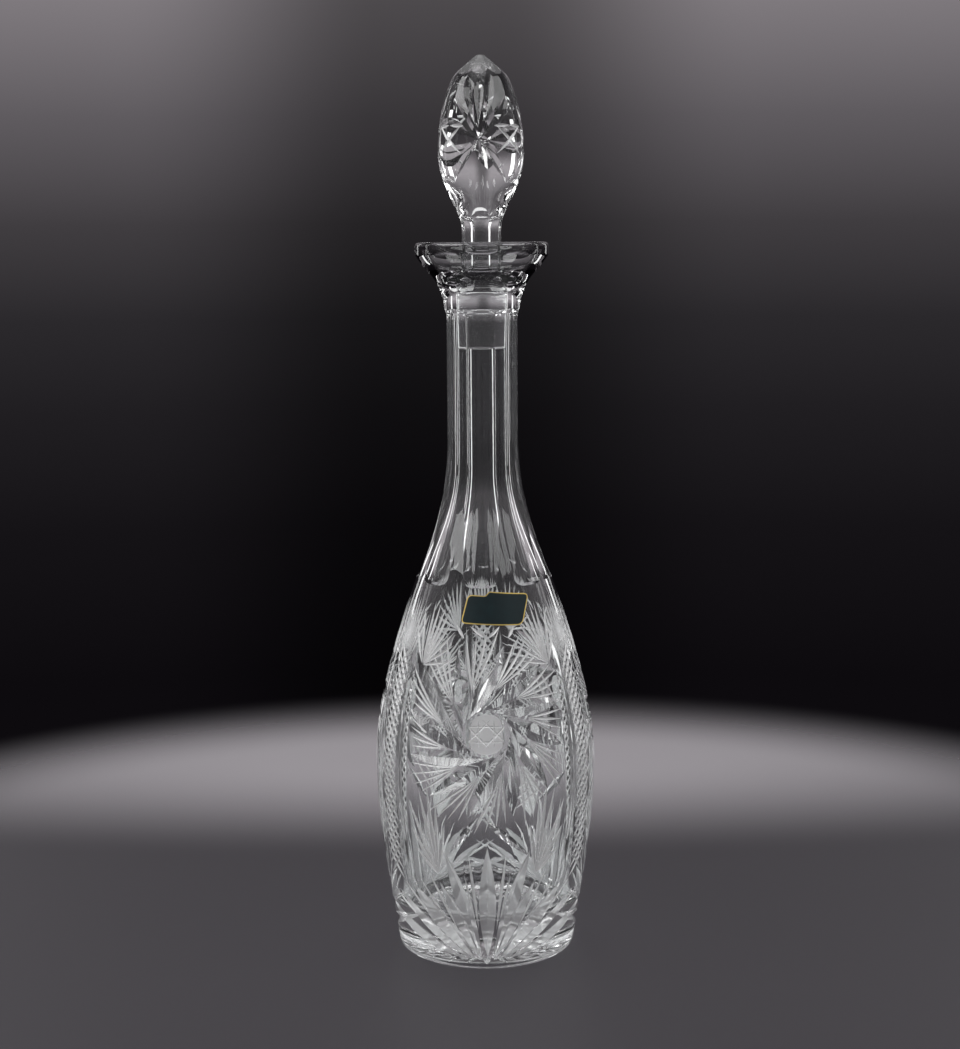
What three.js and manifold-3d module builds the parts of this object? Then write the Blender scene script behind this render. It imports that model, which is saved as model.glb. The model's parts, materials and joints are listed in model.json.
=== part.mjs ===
// Cut-crystal decanter with its ground-in stopper and a foil label on the shoulder.
// Millimetres, +Z up, the origin at the centre of the underside.
// The three parts are made as the real ones are: two blown and pressed blanks, turned from a
// profile, into which a wheel with a V-shaped edge cuts flutes, vanes, leaves and rays, and a
// thin foil label wrapped on the shoulder. Azimuth 0 is the front (-Y); it grows towards +X.

import * as THREE from 'three';
import { mergeVertices } from 'three/addons/utils/BufferGeometryUtils.js';
import Module from 'manifold-3d';

const wasm = await Module();
wasm.setup();

// Bottle, outside: radii and the heights between them, from the underside upwards.
const footRadius = 38.2;
const heelRadius = 40.4;
const heelRound = 2.6;
const bellyRadius = 50;
const bellyHeight = 86;
const shoulderRadius = 29.3;
const shoulderRise = 88;
const neckRadius = 16.8;
const neckSweep = 62;
const neckLength = 54;
const lipRadius = 29.5;
const lipRise = 30;
const lipEdge = 5.5;
const lipRound = 2.2;

// Fullness of that profile: how far the control points of its curves stand from their ends,
// upwards as a share of the rise or in mm, and outwards in mm.
const heelPull = 0.34;
const bellyPull = 0.3;
const shoulderPull = 0.34;
const heelSwell = 4.6;
const shoulderSlope = 0.3625;
const shoulderHoldBelow = 24;
const shoulderHoldAbove = 15.2;
const neckHold = 28;
const flareHold = 13;
const flareOut = 4;
const flareDrop = 7;

// Bottle, inside.
const baseThickness = 22;
const floorRadius = 31;
const floorRound = 7;
const bellyWall = 6.2;
const shoulderWall = 4.2;
const floorHold = 9.8;
const boreRadius = 10.6;
const boreFootDrop = 16;
const boreHold = 18;
const mouthRadius = 25.4;
const mouthDrop = 12;
const mouthDraw = 3.4;
const throatRise = 5;
const throatDraw = 1.5;

// Ground seat of the stopper in the neck, and the play between plug and bore.
const plugTopRadius = 11.3;
const plugBottomRadius = 10.3;
const plugLength = 28.5;
const plugChamfer = 0.8;
const seatDepth = 18;
const seatStep = 1;
const seatClearance = 0.3;

// Stopper above its plug.
const stemRadius = 9.3;
const collarHold = 3;
const collarRise = 8;
const stemFlats = 8;
const stemFlatFoot = 6;
const stemFlatRunOut = 6;
const stemFlatRise = 33;
const stemLength = 29;
const headRadius = 18.8;
const headRise = 27;
const headFoot = 6;
const headFootHold = 4;
const headPull = 0.5;
const crownRise = 42;
const crownPull = 0.47;
const crownEndPull = 0.19;
const crownDraw = 4.8;
const apexRadius = 1.1;
const apexFacets = 8;
const apexFacetHeight = 9;
const apexFacetBite = 0.985;

// Neck flutes: long flat cuts side by side, with round ends.
const fluteCount = 8;
const fluteTurn = -3;
const fluteTopDrop = 29;
const fluteBottomDrop = 3.5;
const fluteTopRunOut = 7;
const fluteBottomRunOut = 13;
const fluteBite = 0.12;

// The body pattern stands in three like panels round the bottle, with a column between each two.
const panelCount = 3;
const panelTurn = 0.5;
const mitreAngle = 112;
const mitreRunOut = 0.06;

// Pinwheel in the middle of each panel, a little above the widest place: vanes that pass the
// hub on one side.
const pinwheelRise = 23.7;
const vaneCount = 12;
const vaneStart = 2;
const vaneReach = 38.5;
const vaneOffset = 10.2;
const vaneWidth = 6.6;
const vaneTurn = 2;

// Columns between the panels: a lattice of crosses between upright mitres.
const columnBottom = 38;
const columnTopDrop = 28;
const columnHalfAngle = 7.4;
const columnMitreWidth = 2.6;
const borderHalfAngle = 12.6;
const borderDrop = 12;
const borderMitreWidth = 5.4;
const crossCount = 4;
const crossWidth = 3;
const crossSecondExtra = 0.16;

// Fan of leaves that rises from the foot of each panel: how high each tip stands, by its azimuth
// from the middle of the panel.
const baseFanHeight = 5.5;
const baseLeaves = [
  { azimuth: 0, tip: 59, width: 7.4 },
  { azimuth: 23, tip: 55, width: 6 },
  { azimuth: 44, tip: 38, width: 6.6 },
  { azimuth: 62, tip: 30, width: 5.2 },
  { azimuth: 82, tip: 20, width: 4.4 },
];
const baseLeafSpread = 0.16;

// Chevron of two straight mitres under each pinwheel, its heights below the widest place.
const chevronTopDrop = 13;
const chevronBottomDrop = 31.5;
const chevronStart = 1.5;
const chevronAngle = 21;
const chevronWidth = 3.4;

// Fans of rays: two low in each panel, two high in it, and one on top of each column. The low
// fans measure their heights from the widest place, the others from the shoulder.
const lowFan = { azimuth: 27, rise: -41, width: 2.6, tips: [[27, -5], [37, -1]] };
const highFan = { azimuth: 42, rise: -39, width: 2.4, tips: [[24, -16], [37, -11]] };
const columnFan = { azimuth: 0, rise: -29, width: 2.4, tips: [[-9, -11], [0, -10], [9, -11]] };

// Stopper cuts: four crosses round the head, a leaf above and one below each crossing.
const headPanels = 4;
const headTurn = -3;
const crossRise = 5.5;
const crossArmAngle = 46;
const crossArmRise = 17.5;
const crossArmWidth = 4.4;
const crestFoot = 1;
const crestDrop = 10.5;
const crestAngles = [-24, 0, 24];
const crestSpread = 0.1;
const crestWidth = 3.6;
const leafHead = 1.5;
const leafDrop = 8.5;
const leafWidth = 2.6;

// Foil label on the shoulder, front and a little to the right.
const labelWidth = 29.4;
const labelHeight = 13.8;
const labelLean = 3;
const labelTilt = -4;
const labelCorner = 2.2;
const labelThickness = 0.2;
const labelGap = 0.3;
const labelDrop = 12.5;
const labelAzimuth = 8.5;

// How finely round and curved surfaces are faceted, and how far a cutter stands out of the glass.
const roundSteps = 36;
const boreSteps = 30;
const bodySpacing = 14;
const boreSpacing = 18;
const stopperSpacing = 6;
const overcut = 1.4;

const degrees = THREE.MathUtils.degToRad;

// Heights of the joints between the stretches of the profiles.
const shoulderHeight = bellyHeight + shoulderRise;
const neckBottom = shoulderHeight + neckSweep;
const neckTop = neckBottom + neckLength;
const rimHeight = neckTop + lipRise;
const seatTop = rimHeight - seatDepth;
const plugBottom = seatTop - plugLength;
const headBottom = seatTop + stemLength;
const headMiddle = headBottom + headRise;
const apexHeight = headMiddle + crownRise;
const crossHeight = headMiddle + crossRise;
const columnTop = shoulderHeight - columnTopDrop;

// The outside of the bottle blank, from the middle of the underside to the rim.
function bottleOutline() {
  const path = new THREE.Path();
  path.moveTo(0, 0);
  path.lineTo(footRadius, 0);
  path.quadraticCurveTo(heelRadius, 0, heelRadius, heelRound);
  path.bezierCurveTo(heelRadius + heelSwell, bellyHeight * heelPull,
    bellyRadius, bellyHeight * (1 - bellyPull), bellyRadius, bellyHeight);
  path.bezierCurveTo(bellyRadius, bellyHeight + shoulderRise * shoulderPull,
    shoulderRadius + shoulderSlope * shoulderHoldBelow, shoulderHeight - shoulderHoldBelow,
    shoulderRadius, shoulderHeight);
  path.bezierCurveTo(shoulderRadius - shoulderSlope * shoulderHoldAbove,
    shoulderHeight + shoulderHoldAbove, neckRadius, neckBottom - neckHold, neckRadius, neckBottom);
  path.lineTo(neckRadius, neckTop);
  path.bezierCurveTo(neckRadius, neckTop + flareHold, lipRadius - flareOut,
    rimHeight - lipEdge - flareDrop, lipRadius, rimHeight - lipEdge);
  path.lineTo(lipRadius, rimHeight - lipRound);
  path.quadraticCurveTo(lipRadius, rimHeight, lipRadius - lipRound, rimHeight);
  path.lineTo(0, rimHeight);
  return path;
}

// The hollow of the bottle, from above the rim down the mouth, the ground seat and the bore to
// the floor.
function hollowOutline() {
  const path = new THREE.Path();
  const seatMouth = plugTopRadius + seatClearance;
  const seatFoot = plugBottomRadius + seatClearance;
  const boreFoot = neckBottom - boreFootDrop;
  const shoulderInside = shoulderRadius - shoulderWall;
  const bellyInside = bellyRadius - bellyWall;
  const floorEdge = floorRadius + floorRound;
  const floorTop = baseThickness + floorRound;
  path.moveTo(0, rimHeight + overcut);
  path.lineTo(mouthRadius, rimHeight + overcut);
  path.lineTo(mouthRadius, rimHeight);
  path.bezierCurveTo(mouthRadius - mouthDraw, rimHeight - mouthDrop, seatMouth + throatDraw,
    seatTop + throatRise, seatMouth, seatTop);
  path.lineTo(seatFoot, plugBottom);
  path.lineTo(boreRadius, plugBottom - seatStep);
  path.lineTo(boreRadius, boreFoot);
  path.bezierCurveTo(boreRadius, boreFoot - boreHold,
    shoulderInside - shoulderSlope * shoulderHoldAbove, shoulderHeight + shoulderHoldAbove,
    shoulderInside, shoulderHeight);
  path.bezierCurveTo(shoulderInside + shoulderSlope * shoulderHoldBelow,
    shoulderHeight - shoulderHoldBelow, bellyInside, bellyHeight + shoulderRise * shoulderPull,
    bellyInside, bellyHeight);
  path.bezierCurveTo(bellyInside, bellyHeight * (1 - bellyPull), floorEdge, floorTop + floorHold,
    floorEdge, floorTop);
  path.quadraticCurveTo(floorEdge, baseThickness, floorRadius, baseThickness);
  path.lineTo(0, baseThickness);
  return path;
}

// The outside of the stopper blank, from the foot of the plug to the apex.
function stopperOutline() {
  const path = new THREE.Path();
  path.moveTo(0, plugBottom);
  path.lineTo(plugBottomRadius - plugChamfer, plugBottom);
  path.lineTo(plugBottomRadius, plugBottom + plugChamfer);
  path.lineTo(plugTopRadius, seatTop);
  path.quadraticCurveTo(stemRadius, seatTop + collarHold, stemRadius, seatTop + collarRise);
  path.lineTo(stemRadius, headBottom - headFoot);
  path.bezierCurveTo(stemRadius, headBottom + headFootHold, headRadius,
    headMiddle - headRise * headPull, headRadius, headMiddle);
  path.bezierCurveTo(headRadius, headMiddle + crownRise * crownPull, headRadius - crownDraw,
    apexHeight - crownRise * crownEndPull, apexRadius, apexHeight);
  path.lineTo(0, apexHeight);
  return path;
}

// Points along an outline, close enough together for its curves to look round.
function outlinePoints(path, spacing) {
  const points = [path.curves[0].getPoint(0)];
  for (const curve of path.curves) {
    const steps = curve.isLineCurve ? 1 : Math.max(3, Math.ceil(curve.getLength() / spacing));
    points.push(...curve.getPoints(steps).slice(1));
  }
  return points;
}

// A closed geometry as a solid that can be joined and cut.
function toSolid(geometry) {
  geometry.deleteAttribute('normal');
  geometry.deleteAttribute('uv');
  const merged = mergeVertices(geometry, 1e-4);
  return new wasm.Manifold(new wasm.Mesh({
    numProp: 3,
    vertProperties: new Float32Array(merged.attributes.position.array),
    triVerts: new Uint32Array(merged.index.array),
  }));
}

// A solid turned about the Z axis from a profile of (radius, height) points, lowest first.
function turned(points, steps) {
  return toSolid(new THREE.LatheGeometry(points, steps).rotateX(Math.PI / 2));
}

// The turned surface as a place to cut: the point, its outward direction and its radius at an
// azimuth in degrees and a height.
function turnedSurface(points) {
  const radiusAt = (height) => {
    const next = points.findIndex((point, i) => i > 0 && point.y > height && points[i - 1].y <= height);
    const above = points[next < 1 ? points.length - 1 : next];
    const below = points[next < 1 ? points.length - 2 : next - 1];
    return THREE.MathUtils.mapLinear(height, below.y, above.y, below.x, above.x);
  };
  const reach = 2;
  return (azimuth, height) => {
    const radius = radiusAt(height);
    const slope = (radiusAt(height + reach) - radiusAt(height - reach)) / (2 * reach);
    const angle = degrees(azimuth);
    return {
      radius,
      point: new THREE.Vector3(radius * Math.sin(angle), -radius * Math.cos(angle), height),
      out: new THREE.Vector3(Math.sin(angle), -Math.cos(angle), -slope).normalize(),
    };
  };
}

// What a wheel takes away as it travels: its edge profile, drawn across and out of the glass,
// carried along stations that each have a point on the surface, an outward direction and a depth.
function wheelCut(edge, stations) {
  const steps = stations.length - 1;
  const geometry = new THREE.ExtrudeGeometry(new THREE.Shape(edge), {
    steps, depth: steps, bevelEnabled: false,
  });
  const frames = stations.map((station, i) => {
    const before = stations[Math.max(i - 1, 0)].point;
    const after = stations[Math.min(i + 1, steps)].point;
    const along = new THREE.Vector3().subVectors(after, before).normalize();
    const across = new THREE.Vector3().crossVectors(station.out, along).normalize();
    const up = new THREE.Vector3().crossVectors(along, across);
    const foot = station.point.clone().addScaledVector(up, -station.depth);
    return { foot, across, up };
  });
  const position = geometry.attributes.position;
  for (let i = 0; i < position.count; i += 1) {
    const frame = frames[Math.round(position.getZ(i))];
    const vertex = frame.foot.clone()
      .addScaledVector(frame.across, position.getX(i))
      .addScaledVector(frame.up, position.getY(i));
    position.setXYZ(i, vertex.x, vertex.y, vertex.z);
  }
  return toSolid(geometry);
}

// A mitre: a V-shaped cut from one place to another, each an azimuth and a height, that is
// deepest at the given share of its length and runs out to a point at both ends.
function mitre(surface, from, to, width, deepest = 0.5, steps = 6) {
  const slant = Math.tan(degrees(mitreAngle / 2));
  const depth = width / 2 / slant;
  const top = depth + overcut;
  const edge = [
    new THREE.Vector2(-top * slant, top),
    new THREE.Vector2(0, 0),
    new THREE.Vector2(top * slant, top),
  ];
  const warp = Math.log(0.5) / Math.log(deepest);
  const stations = [];
  for (let i = 0; i <= steps; i += 1) {
    const t = i / steps;
    const place = surface(
      THREE.MathUtils.lerp(from[0], to[0], t),
      THREE.MathUtils.lerp(from[1], to[1], t),
    );
    const share = Math.sin(Math.PI * t ** warp);
    stations.push({ ...place, depth: (depth + mitreRunOut) * share - mitreRunOut });
  }
  return wheelCut(edge, stations);
}

// A flute: a flat cut up the side, as wide as its share of the round, with a round end where
// the wheel runs out of the glass. A run-out of 0 leaves that end open.
function flute(surface, azimuth, count, bottom, top, runOutBottom, runOutTop, steps) {
  const half = Math.PI / count;
  const stations = [];
  let widest = 0;
  for (let i = 0; i <= steps; i += 1) {
    const height = THREE.MathUtils.lerp(bottom, top, i / steps);
    const place = surface(azimuth, height);
    const full = place.radius * (1 - Math.cos(half)) + fluteBite;
    const low = runOutBottom ? Math.min((height - bottom) / runOutBottom, 1) : 1;
    const high = runOutTop ? Math.min((top - height) / runOutTop, 1) : 1;
    widest = Math.max(widest, place.radius * Math.tan(half));
    stations.push({ ...place, depth: (full + fluteBite) * Math.min(low, high) - fluteBite });
  }
  const clear = widest * Math.tan(half) + overcut;
  const edge = [
    new THREE.Vector2(-widest, 0),
    new THREE.Vector2(widest, 0),
    new THREE.Vector2(widest, clear),
    new THREE.Vector2(-widest, clear),
  ];
  return wheelCut(edge, stations);
}

// A cut in the panel at an azimuth, given by places measured from that azimuth.
function panelMitre(surface, panelAzimuth, from, to, width, deepest, steps) {
  return mitre(
    surface,
    [panelAzimuth + from[0], from[1]],
    [panelAzimuth + to[0], to[1]],
    width, deepest, steps,
  );
}

// The vanes of one pinwheel: each is straight, starts beside the hub and ends on the rim circle.
function pinwheelCuts(surface, panelAzimuth) {
  const place = (distance, angle) => {
    const across = distance * Math.cos(angle) - vaneOffset * Math.sin(angle);
    const height = bellyHeight + pinwheelRise + distance * Math.sin(angle) + vaneOffset * Math.cos(angle);
    return [THREE.MathUtils.radToDeg(across / surface(0, height).radius), height];
  };
  const tip = Math.sqrt(vaneReach ** 2 - vaneOffset ** 2);
  const cuts = [];
  for (let i = 0; i < vaneCount; i += 1) {
    const angle = degrees(vaneStart) + (2 * Math.PI * i) / vaneCount;
    cuts.push(panelMitre(surface, panelAzimuth, place(vaneTurn, angle), place(tip, angle),
      vaneWidth, 0.45, 4));
  }
  return cuts;
}

// Rays that spread from one point of the panel, its heights measured from a datum; a mirrored fan
// stands on the panel's other side.
function fanCuts(surface, panelAzimuth, fan, datum, mirrored) {
  const side = mirrored ? -1 : 1;
  return fan.tips.map(([tipAzimuth, tipRise]) => panelMitre(surface, panelAzimuth,
    [side * fan.azimuth, datum + fan.rise], [side * tipAzimuth, datum + tipRise],
    fan.width, 0.5, 2));
}

// Everything cut into one panel apart from its pinwheel.
function panelCuts(surface, panelAzimuth) {
  const cuts = [];
  for (const leaf of baseLeaves) {
    for (const side of leaf.azimuth ? [-1, 1] : [1]) {
      const root = [side * leaf.azimuth * baseLeafSpread, baseFanHeight];
      cuts.push(panelMitre(surface, panelAzimuth, root, [side * leaf.azimuth, leaf.tip],
        leaf.width, 0.5, 4));
    }
  }
  for (const side of [-1, 1]) {
    cuts.push(panelMitre(surface, panelAzimuth,
      [side * -chevronStart, bellyHeight - chevronTopDrop],
      [side * chevronAngle, bellyHeight - chevronBottomDrop], chevronWidth, 0.5, 3));
    cuts.push(...fanCuts(surface, panelAzimuth, lowFan, bellyHeight, side < 0));
    cuts.push(...fanCuts(surface, panelAzimuth, highFan, shoulderHeight, side < 0));
  }
  return cuts;
}

// The column between two panels: upright mitres with crosses between them.
function columnCuts(surface, columnAzimuth) {
  const cuts = fanCuts(surface, columnAzimuth, columnFan, shoulderHeight, false);
  for (const side of [-1, 1]) {
    cuts.push(panelMitre(surface, columnAzimuth, [side * columnHalfAngle, columnBottom],
      [side * columnHalfAngle, columnTop], columnMitreWidth, 0.5, 5));
    cuts.push(panelMitre(surface, columnAzimuth, [side * borderHalfAngle, columnBottom + borderDrop],
      [side * borderHalfAngle, columnTop - borderDrop], borderMitreWidth, 0.5, 5));
  }
  const pitch = (columnTop - columnBottom) / crossCount;
  for (let i = 0; i < crossCount; i += 1) {
    const low = columnBottom + i * pitch;
    for (const side of [-1, 1]) {
      const width = side < 0 ? crossWidth : crossWidth + crossSecondExtra;
      cuts.push(panelMitre(surface, columnAzimuth, [side * -columnHalfAngle, low],
        [side * columnHalfAngle, low + pitch], width, 0.5, 2));
    }
  }
  return cuts;
}

function decanterBody() {
  const outline = outlinePoints(bottleOutline(), bodySpacing);
  const hollow = outlinePoints(hollowOutline(), boreSpacing).reverse();
  const surface = turnedSurface(outline.slice(1, -1));
  let glass = turned(outline, roundSteps).subtract(turned(hollow, boreSteps));
  const cuts = [];
  for (let i = 0; i < fluteCount; i += 1) {
    cuts.push(flute(surface, fluteTurn + (360 * i) / fluteCount, fluteCount,
      shoulderHeight - fluteBottomDrop, rimHeight - fluteTopDrop,
      fluteBottomRunOut, fluteTopRunOut, 12));
  }
  for (let i = 0; i < panelCount; i += 1) {
    const panelAzimuth = panelTurn + (360 * i) / panelCount;
    cuts.push(...pinwheelCuts(surface, panelAzimuth));
    cuts.push(...panelCuts(surface, panelAzimuth));
    cuts.push(...columnCuts(surface, panelAzimuth + 180 / panelCount));
  }
  for (const cut of cuts) glass = glass.subtract(cut);
  return glass;
}

// The stopper: its plug is ground plain, its stem has flats and its head is cut all round.
function stopper() {
  const outline = outlinePoints(stopperOutline(), stopperSpacing);
  const surface = turnedSurface(outline.slice(3, -1));
  let glass = turned(outline, roundSteps);

  const facetFoot = surface(0, apexHeight - apexFacetHeight).radius * apexFacetBite;
  const slope = (facetFoot - apexRadius) / apexFacetHeight;
  const coneHeight = apexHeight - plugBottom + overcut;
  const corner = 1 / Math.cos(Math.PI / apexFacets);
  const cone = new THREE.CylinderGeometry(apexRadius * corner,
    (apexRadius + slope * coneHeight) * corner, coneHeight, apexFacets);
  cone.rotateX(Math.PI / 2).rotateZ(Math.PI / apexFacets);
  cone.translate(0, 0, apexHeight - coneHeight / 2);
  glass = glass.intersect(toSolid(cone));

  const cuts = [];
  for (let i = 0; i < stemFlats; i += 1) {
    cuts.push(flute(surface, headTurn + (360 * i) / stemFlats, stemFlats,
      seatTop + stemFlatFoot, seatTop + stemFlatRise, stemFlatRunOut / 2, stemFlatRunOut, 6));
  }
  for (let i = 0; i < headPanels; i += 1) {
    const panelAzimuth = headTurn + (360 * i) / headPanels;
    for (const side of [-1, 1]) {
      cuts.push(panelMitre(surface, panelAzimuth, [side * -crossArmAngle, crossHeight - crossArmRise],
        [side * crossArmAngle, crossHeight + crossArmRise], crossArmWidth, 0.5, 6));
    }
    for (const angle of crestAngles) {
      cuts.push(panelMitre(surface, panelAzimuth, [angle * crestSpread, crossHeight + crestFoot],
        [angle, apexHeight - crestDrop], crestWidth, 0.45, 3));
    }
    cuts.push(panelMitre(surface, panelAzimuth, [0, crossHeight + leafHead],
      [0, crossHeight - leafDrop], leafWidth, 0.5, 2));
  }
  for (const cut of cuts) glass = glass.subtract(cut);
  return glass;
}

// The label: a leaning plate outline with round corners, pressed onto the shoulder's curve.
function foilLabel() {
  const corners = [[-1, -1], [1, -1], [1, 1], [-1, 1]].map(([x, y]) => new THREE.Vector2(
    (x * (labelWidth - labelLean)) / 2 + (y * labelLean) / 2, (y * labelHeight) / 2,
  ));
  const shape = new THREE.Shape();
  corners.forEach((corner, i) => {
    const before = corners[(i + 3) % 4];
    const after = corners[(i + 1) % 4];
    const start = before.clone().sub(corner).setLength(labelCorner).add(corner);
    const end = after.clone().sub(corner).setLength(labelCorner).add(corner);
    if (i === 0) shape.moveTo(start.x, start.y);
    else shape.lineTo(start.x, start.y);
    shape.quadraticCurveTo(corner.x, corner.y, end.x, end.y);
  });
  const outline = outlinePoints(bottleOutline(), bodySpacing);
  const surface = turnedSurface(outline.slice(1, -1));
  const middle = shoulderHeight - labelDrop;
  const centre = surface(labelAzimuth, middle);
  const punch = new THREE.ExtrudeGeometry(shape, {
    depth: labelHeight, bevelEnabled: false, curveSegments: 4,
  });
  const right = new THREE.Vector3(Math.cos(degrees(labelAzimuth)), Math.sin(degrees(labelAzimuth)), 0);
  const up = new THREE.Vector3().crossVectors(centre.out, right);
  const frame = new THREE.Matrix4().makeBasis(right, up, centre.out);
  punch.translate(0, 0, -labelHeight / 2).rotateZ(degrees(labelTilt)).applyMatrix4(frame);
  punch.translate(centre.point.x, centre.point.y, centre.point.z);

  const rings = [];
  const ringCount = 5;
  for (let i = 0; i <= ringCount; i += 1) {
    const height = middle + labelHeight * THREE.MathUtils.lerp(-0.8, 0.8, i / ringCount);
    const { radius, out } = surface(0, height);
    rings.push({ radius, height, away: -out.y, rise: out.z });
  }
  const skin = (offset) => rings.map((ring) => new THREE.Vector2(
    ring.radius + offset * ring.away, ring.height + offset * ring.rise,
  ));
  const inner = skin(labelGap);
  const outer = skin(labelGap + labelThickness);
  const sheet = turned([...outer, ...inner.reverse(), outer[0]], roundSteps * 2);
  return sheet.intersect(toSolid(punch));
}

function meshOf(name, solid, material) {
  const { vertProperties, triVerts } = solid.getMesh();
  const geometry = new THREE.BufferGeometry();
  geometry.setAttribute('position', new THREE.Float32BufferAttribute(vertProperties, 3));
  geometry.setIndex(new THREE.BufferAttribute(triVerts, 1));
  geometry.computeVertexNormals();
  const mesh = new THREE.Mesh(geometry, material);
  mesh.name = name;
  return mesh;
}

function crystal() {
  return new THREE.MeshStandardMaterial({
    color: 0xe8edef, roughness: 0.04, metalness: 0, transparent: true, opacity: 0.4, flatShading: true,
  });
}

const foil = new THREE.MeshStandardMaterial({ color: 0x12403a, roughness: 0.35, metalness: 0.6 });

const decanter = new THREE.Group();
decanter.add(meshOf('decanter_body', decanterBody(), crystal()));
decanter.add(meshOf('stopper', stopper(), crystal()));
decanter.add(meshOf('foil_label', foilLabel(), foil));

export default decanter;
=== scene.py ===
import bisect
import json
import math
import bpy
from mathutils import Matrix, Vector

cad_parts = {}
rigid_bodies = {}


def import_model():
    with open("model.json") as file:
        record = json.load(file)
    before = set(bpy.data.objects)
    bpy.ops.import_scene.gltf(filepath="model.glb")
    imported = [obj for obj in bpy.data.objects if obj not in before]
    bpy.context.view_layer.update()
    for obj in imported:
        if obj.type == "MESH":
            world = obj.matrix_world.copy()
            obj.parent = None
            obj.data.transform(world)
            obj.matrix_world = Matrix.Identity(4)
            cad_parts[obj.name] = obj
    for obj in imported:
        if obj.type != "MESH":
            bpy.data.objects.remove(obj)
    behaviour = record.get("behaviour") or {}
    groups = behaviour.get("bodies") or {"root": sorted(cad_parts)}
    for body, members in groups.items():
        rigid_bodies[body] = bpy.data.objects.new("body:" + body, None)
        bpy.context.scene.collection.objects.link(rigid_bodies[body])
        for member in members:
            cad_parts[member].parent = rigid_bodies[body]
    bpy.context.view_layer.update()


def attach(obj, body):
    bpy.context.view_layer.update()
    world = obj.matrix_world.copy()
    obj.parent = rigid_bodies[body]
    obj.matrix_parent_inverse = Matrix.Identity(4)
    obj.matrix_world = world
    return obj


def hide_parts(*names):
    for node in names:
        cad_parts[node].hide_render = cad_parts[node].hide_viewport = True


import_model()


# Lead crystal: clear glass with about a quarter of lead oxide, heavy and bright. The blank's own
# skin is polished by the fire. Every cut is ground with a wheel, and how far it is polished in acid
# afterwards leaves it clear, silvery, satin, silky white or matt.

MM = 0.001
CRYSTAL_COLOUR = "#FBFCFC"
CRYSTAL_SHADOW = "#F5F6F6"
CRYSTAL_IOR = 1.545
# The grain is drawn out along the height, and the polish varies with it by a share of itself.
GRAIN_DRAWN_UP = 0.3
POLISH_SPREAD = 0.3
RELIEF_STRENGTH = 0.5


def linear(colour):
    """An sRGB hex colour as linear red, green, blue and alpha."""
    parts = [int(colour[i:i + 2], 16) / 255 for i in (1, 3, 5)]
    return [c / 12.92 if c <= 0.04045 else ((c + 0.055) / 1.055) ** 2.4 for c in parts] + [1.0]


def add_node(material, kind, settings=None, links=None):
    """Adds a node with its settings, and links its sockets, each known by its name or its number,
    to (node, socket) pairs."""
    node = material.node_tree.nodes.new(kind)
    for name, value in (settings or {}).items():
        if isinstance(name, int) or name in node.inputs:
            node.inputs[name].default_value = value
        else:
            setattr(node, name, value)
    for name, (source, socket) in (links or {}).items():
        material.node_tree.links.new(source.outputs[socket], node.inputs[name])
    return node


def empty_material(name):
    material = bpy.data.materials.new(name)
    material.use_nodes = True
    material.node_tree.nodes.clear()
    return material


def crystal(name, roughness, clearness, grain, relief):
    """A crystal surface: its roughness, how clear it is, and how wide and how deep its grain is, in
    millimetres. It lets most of a lamp's light through to what lies behind."""
    material = empty_material(name)
    place = add_node(material, "ShaderNodeTexCoord")
    drawn_up = add_node(material, "ShaderNodeVectorMath",
        {"operation": "MULTIPLY", 1: (1, 1, GRAIN_DRAWN_UP)}, {0: (place, "Object")})
    ripple = add_node(material, "ShaderNodeTexNoise", {"Scale": 1 / (grain * MM), "Detail": 2.0},
        {"Vector": (drawn_up, "Vector")})
    polish = add_node(material, "ShaderNodeMapRange", {"To Min": roughness * (1 - POLISH_SPREAD),
        "To Max": roughness * (1 + POLISH_SPREAD)}, {"Value": (ripple, "Fac")})
    waves = add_node(material, "ShaderNodeBump", {"Strength": RELIEF_STRENGTH,
        "Distance": relief * MM}, {"Height": (ripple, "Fac")})
    glass = add_node(material, "ShaderNodeBsdfPrincipled", {"Base Color": linear(CRYSTAL_COLOUR),
        "IOR": CRYSTAL_IOR, "Transmission Weight": clearness},
        {"Roughness": (polish, "Result"), "Normal": (waves, "Normal")})
    through = add_node(material, "ShaderNodeBsdfTransparent", {"Color": linear(CRYSTAL_SHADOW)})
    rays = add_node(material, "ShaderNodeLightPath")
    mix = add_node(material, "ShaderNodeMixShader", {},
        {"Fac": (rays, "Is Shadow Ray"), 1: (glass, "BSDF"), 2: (through, "BSDF")})
    add_node(material, "ShaderNodeOutputMaterial", {}, {"Surface": (mix, "Shader")})
    return material


# The blank's own skin: mirror smooth, with slow ripples from blowing that bend what shows through.
polished_skin = crystal("lead crystal, fire-polished",
    roughness=0.004, clearness=1.0, grain=18.2, relief=0.22)

# The cuts: clear with bright edges, silvery, the silky white of thin rays, the soft grey of satin
# leaves and the even frost of the hub. A wheel's grit leaves a grain of some hundredths of a
# millimetre, which is drawn here as coarse as the picture can show.
broad_cut = crystal("lead crystal, cut and acid-polished",
    roughness=0.02, clearness=0.98, grain=1.67, relief=0.03)
silver_cut = crystal("lead crystal, cut and lightly polished",
    roughness=0.06, clearness=0.86, grain=1.67, relief=0.03)
fine_cut = crystal("lead crystal, fine silky cut",
    roughness=0.25, clearness=0.42, grain=0.556, relief=0.03)
satin_cut = crystal("lead crystal, satin cut",
    roughness=0.09, clearness=0.67, grain=1.11, relief=0.03)
matt_cut = crystal("lead crystal, matt from the wheel",
    roughness=0.45, clearness=0.4, grain=0.714, relief=0.04)


# The bottle's blank: blown in a mould and turned true, one skin from the underside up over the lip
# and down the mouth, the ground seat and the bore to the thick floor. It is spun here from one
# profile of (radius, height) points, each with the two handles of its curve, in millimetres.

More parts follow.
